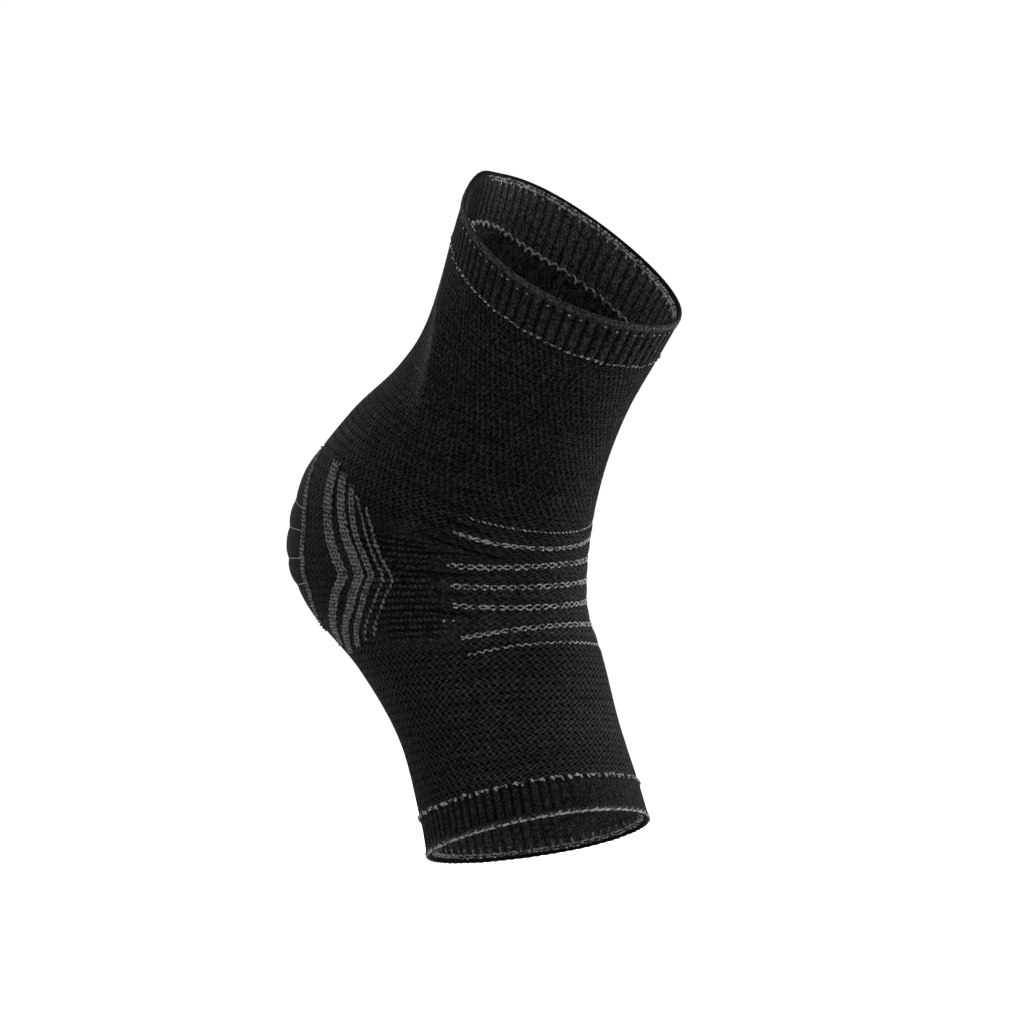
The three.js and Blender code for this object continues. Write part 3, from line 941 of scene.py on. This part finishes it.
def vector(tree, operation, first, second, third=(0, 0, 0)):
    inputs = {0: first, 1: second, 2: third}
    return add_node(tree, "ShaderNodeVectorMath", inputs, operation=operation).outputs[0]


def mapped(tree, value, low, high, to_low=0.0, to_high=1.0):
    """Smooth step of a value between low and high."""
    inputs = {"Value": value, "From Min": low, "From Max": high, "To Min": to_low, "To Max": to_high}
    return add_node(tree, "ShaderNodeMapRange", inputs, interpolation_type="SMOOTHSTEP").outputs["Result"]


def noise(tree, place, scale, detail):
    """Outputs of a noise texture."""
    return add_node(tree, "ShaderNodeTexNoise", {"Vector": place, "Scale": scale, "Detail": detail}).outputs


def fleck_value(tree, place, cells):
    """Random value for each cell, by the number of cells in a stitch."""
    scaled = vector(tree, "MULTIPLY", place, cells)
    cell = add_node(tree, "ShaderNodeTexVoronoi", {"Vector": scaled, "Scale": 1.0})
    return add_node(tree, "ShaderNodeSeparateXYZ", {"Vector": cell.outputs["Color"]}).outputs["X"]


def waves(tree, table, wale, course):
    """Sum of the table's cosine waves over the wales and courses."""
    total = 0.0
    for weight, across, along in table:
        turns = calc(tree, "MULTIPLY_ADD", course, along, calc(tree, "MULTIPLY", wale, across))
        wave = calc(tree, "COSINE", calc(tree, "MULTIPLY", turns, TAU))
        total = calc(tree, "MULTIPLY_ADD", wave, weight, total)
    return total


def stitch_group():
    """Stitches from a UV that counts wales and courses: pits with painted shade, staggered from course to
    course and finer on the leg, flecks of lighter yarn, uneven rows, and purls as rows of short bumps with
    painted shade between them. Puts out the height, and the lightness of the yarn with that painted shade."""
    group = bpy.data.node_groups.new("knit stitches", "ShaderNodeTree")
    times, less = partial(calc, group, "MULTIPLY"), partial(calc, group, "SUBTRACT")
    times_plus = partial(calc, group, "MULTIPLY_ADD")
    for name, kind in (("Stitch", "Vector"), ("Pits", "Float"), ("Purls", "Float"), ("Fine", "Float")):
        group.interface.new_socket(name, in_out="INPUT", socket_type="NodeSocket" + kind)
    for name in ("Height", "Lightness"):
        group.interface.new_socket(name, in_out="OUTPUT", socket_type="NodeSocketFloat")
    given = group.nodes.new("NodeGroupInput")
    result = group.nodes.new("NodeGroupOutput")
    stitch, pits, purls, fine = (given.outputs[name] for name in ("Stitch", "Pits", "Purls", "Fine"))
    wander = vector(group, "SUBTRACT", noise(group, stitch, 0.9, 1.0)["Color"], (0.5, 0.5, 0.5))
    moved = vector(group, "MULTIPLY_ADD", wander, (0.3, 0.3, 0), stitch)
    parts = add_node(group, "ShaderNodeSeparateXYZ", {"Vector": moved})
    wale, course = parts.outputs["X"], parts.outputs["Y"]
    foot_waves, leg_waves = waves(group, PIT_WAVES, wale, course), waves(group, LEG_WAVES, wale, course)
    both = times_plus(less(leg_waves, foot_waves), fine, foot_waves)
    pit = times(mapped(group, both, -1.8, 2.6, 0.0, 0.95), pits)
    purl = times(mapped(group, waves(group, PURL_WAVES, wale, course), -1.4, 1.9, 0.85, 0.0), purls)
    hollow = calc(group, "MAXIMUM", pit, purl)
    fleck = fleck_value(group, stitch, (1.5, 1.5, 1.0))
    fibre = fleck_value(group, stitch, (4.0, 3.6, 1.0))
    spark = times(calc(group, "POWER", fleck, 10.0), times_plus(fine, 0.5, 0.15))
    bright = calc(group, "ADD", spark, mapped(group, fleck, 0, 1, 0.9, 1.0))
    light = times(bright, mapped(group, fibre, 0.0, 1.0, 0.15, 1.5))
    uneven = times_plus(times(pits, less(1.0, fine)), -0.3, 1.0)
    light = times_plus(less(light, 0.85), uneven, 0.85)
    row = noise(group, vector(group, "MULTIPLY", stitch, (0.03, 0.4, 0)), 1.0, 2.0)["Fac"]
    light = times(light, mapped(group, row, 0.3, 0.7, 0.85, 1.15))
    group.links.new(less(times(fibre, 0.4), hollow), result.inputs["Height"])
    # Lightness with painted shade in the pits and between the purls
    group.links.new(times(light, less(1.0, hollow)), result.inputs["Lightness"])
    return group


STITCHES = stitch_group()


def empty_material(name):
    material = bpy.data.materials.new(name)
    material.use_nodes = True
    material.node_tree.nodes.clear()
    return material, material.node_tree


def surface(tree, values):
    """Ends a material with a shader of these values."""
    shader = add_node(tree, "ShaderNodeBsdfPrincipled", values)
    add_node(tree, "ShaderNodeOutputMaterial", {"Surface": shader.outputs["BSDF"]})


def grey_mix(tree, share, dark, light, clamped):
    """Grey between dark and light, by a share."""
    colours = {"Factor": share, 6: (dark, dark, dark, 1), 7: (light, light, light, 1)}
    return add_node(tree, "ShaderNodeMix", colours, data_type="RGBA", clamp_factor=clamped).outputs[2]


def cloth_shader(tree, colour, bump, specular, sheen, sheen_roughness):
    """Matt cloth from a colour and a bump."""
    surface(tree, {
        "Base Color": colour, "Roughness": 0.85, "Specular IOR Level": specular, "Sheen Weight": sheen,
        "Sheen Roughness": sheen_roughness, "Normal": bump.outputs["Normal"],
    })


def knit_material(name, dark, light, depth):
    """Black knit: painted shade in the hollows and flecked with lighter yarn, times the factor stored on the
    piece, which holds the knit's zones with painted light and shade.
    """
    material, tree = empty_material(name)
    stitches = tree.nodes.new("ShaderNodeGroup")
    stitches.node_tree = STITCHES
    uv = add_node(tree, "ShaderNodeUVMap", uv_map="stitch").outputs["UV"]
    tree.links.new(uv, stitches.inputs["Stitch"])
    for share, socket in (("pits", "Pits"), ("purls", "Purls"), ("fine", "Fine")):
        attribute = add_node(tree, "ShaderNodeAttribute", attribute_name=share)
        tree.links.new(attribute.outputs["Fac"], stitches.inputs[socket])
    # Stored factor with painted light and shade
    tone_and_painted_shading = add_node(tree, "ShaderNodeAttribute", attribute_name="tone_and_painted_shading").outputs["Fac"]
    colour = grey_mix(tree, stitches.outputs["Lightness"], dark, light, False)
    toned = add_node(tree, "ShaderNodeVectorMath", {0: colour, "Scale": tone_and_painted_shading}, operation="SCALE").outputs[0]
    relief = {"Height": stitches.outputs["Height"], "Strength": 0.7, "Distance": depth * MM}
    bump = add_node(tree, "ShaderNodeBump", relief)
    cloth_shader(tree, toned, bump, specular=0.01, sheen=0.01, sheen_roughness=0.3)
    return material


def yarn_material(name, dark, light):
    """Grey yarn: uneven along its length and flecked along its fibres."""
    material, tree = empty_material(name)
    place = add_node(tree, "ShaderNodeTexCoord").outputs["Object"]
    fibre = noise(tree, place, 1500.0, 2.0)["Fac"]
    stitch = noise(tree, place, 800.0, 1.0)["Fac"]
    share = calc(tree, "MULTIPLY", mapped(tree, stitch, 0.34, 0.6), mapped(tree, fibre, 0.2, 0.7, 0.4, 1.0))
    colour = grey_mix(tree, share, dark, light, True)
    bump = add_node(tree, "ShaderNodeBump", {"Height": fibre, "Strength": 0.5, "Distance": 0.1 * MM})
    cloth_shader(tree, colour, bump, specular=0.1, sheen=0.02, sheen_roughness=0.4)
    return material


# Studio

def look_at(thing, place, target):
    """Puts a camera or light at a place, in metres, and turns it to the target with its top up."""
    back = unit(np.array(place) - np.array(target))
    right = unit(np.cross((0, 0, 1), back))
    matrix = np.eye(4)
    matrix[:3, :3] = np.stack([right, np.cross(back, right), back], 1)
    matrix[:3, 3] = place
    thing.matrix_world = Matrix(matrix.tolist())


def area_light(name, place, size, power):
    """Round soft light that faces the sleeve."""
    light = bpy.data.lights.new(name, "AREA")
    light.shape = "DISK"
    light.size = size
    light.energy = power
    lamp = bpy.data.objects.new(name, light)
    bpy.context.scene.collection.objects.link(lamp)
    look_at(lamp, place, (0.0, 0.0, 0.0))


def white_floor():
    """Pale floor just under the sleeve, lit from within like a light table."""
    low = CAD_BOX[0][2] - FLOOR_GAP * MM
    corners = [(x * FLOOR_REACH, y * FLOOR_REACH, low) for x, y in ((-1, -1), (1, -1), (1, 1), (-1, 1))]
    mesh = bpy.data.meshes.new("floor")
    mesh.from_pydata(corners, [], [(0, 1, 2, 3)])
    floor = bpy.data.objects.new("floor", mesh)
    bpy.context.scene.collection.objects.link(floor)
    paint, tree = empty_material("floor paint")
    surface(tree, {
        "Base Color": (0.6, 0.6, 0.6, 1), "Roughness": 0.9, "Specular IOR Level": 0.0,
        "Emission Color": (1, 1, 1, 1), "Emission Strength": 0.7,
    })
    mesh.materials.append(paint)


def studio():
    """White room: a pale floor, an even white surround, soft lights and the camera."""
    scene = bpy.context.scene
    white_floor()
    world = bpy.data.worlds.new("white surround")
    world.use_nodes = True
    sky = world.node_tree.nodes["Background"].inputs
    sky["Color"].default_value = (1, 1, 1, 1)
    sky["Strength"].default_value = SURROUND
    scene.world = world
    for name, place, size, power in LIGHTS:
        area_light(name, place, size, power)
    lens = bpy.data.cameras.new("camera")
    lens.lens = LENS
    lens.sensor_width = 36.0
    lens.clip_end = 50.0
    camera = bpy.data.objects.new("camera", lens)
    scene.collection.objects.link(camera)
    turn, rise = math.radians(CAMERA_SIDE_ANGLE), math.radians(CAMERA_ELEVATION)
    target = np.array(CAMERA_TARGET) * MM
    away = np.array((math.cos(turn) * math.cos(rise), -math.sin(turn) * math.cos(rise), math.sin(rise)))
    look_at(camera, target + away * CAMERA_DISTANCE * MM, target)
    scene.camera = camera
    scene.view_settings.view_transform = "Standard"


# The dressed sleeve

body_knit = knit_material("compression knit", 0.0003, 0.0102, 0.4)
rib_knit = knit_material("rib knit", 0.0004, 0.0118, 0.3)
foot_rib_knit = knit_material("foot rib knit", 0.0004, 0.0100, 0.3)
panel_knit = knit_material("heel panel knit", 0.0015, 0.0065, 0.15)
grey_yarn = yarn_material("grey yarn", 0.015, 0.18)
stripe_yarn = yarn_material("stripe yarn", 0.018, 0.08)
stitch_yarn = yarn_material("stitch yarn", 0.015, 0.07)

WALLS = (
    # name wales
    ("foot_knit", WALES),
    ("ankle_knit", WALES),
    ("leg_knit_low", LEG_WALES),
    ("leg_knit_high", LEG_WALES),
)
walls = [
    knit_wall(name, COURSE_NUMBERS[number], COURSE_NUMBERS[number + 1], wales, body_knit)
    for number, (name, wales) in enumerate(WALLS)
]
cuffs = {
    "leg_cuff": cuff("leg_cuff_rib", LEG_CUFF, rib_knit, drop=LEG_HEM_DROP, bends=1.0, plain_front=0.0),
    "foot_cuff": cuff("foot_cuff_rib", FOOT_CUFF, foot_rib_knit, drop=0.0, bends=0.0, plain_front=1.0),
}
panel = heel_panel("heel_panel_quilt", panel_knit)
ankle_yarns = [
    yarn_piece("instep_yarn", instep_yarn(), grey_yarn),
    yarn_piece("heel_nets", heel_nets(), stripe_yarn),
    yarn_piece("heel_stitches", heel_stitches(), stitch_yarn),
    yarn_piece("heel_ladder", heel_ladder(), stripe_yarn),
]
cuff_yarns = {
    "leg_cuff": yarn_piece("leg_cuff_yarn", leg_cuff_yarn(), grey_yarn),
    "foot_cuff": yarn_piece("foot_cuff_yarn", foot_cuff_yarn(), grey_yarn),
}

for wall, flat in walls:
    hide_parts("sleeve_body")
for node, (piece, flat) in cuffs.items():
    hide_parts(node)
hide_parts("heel_panel")

studio()
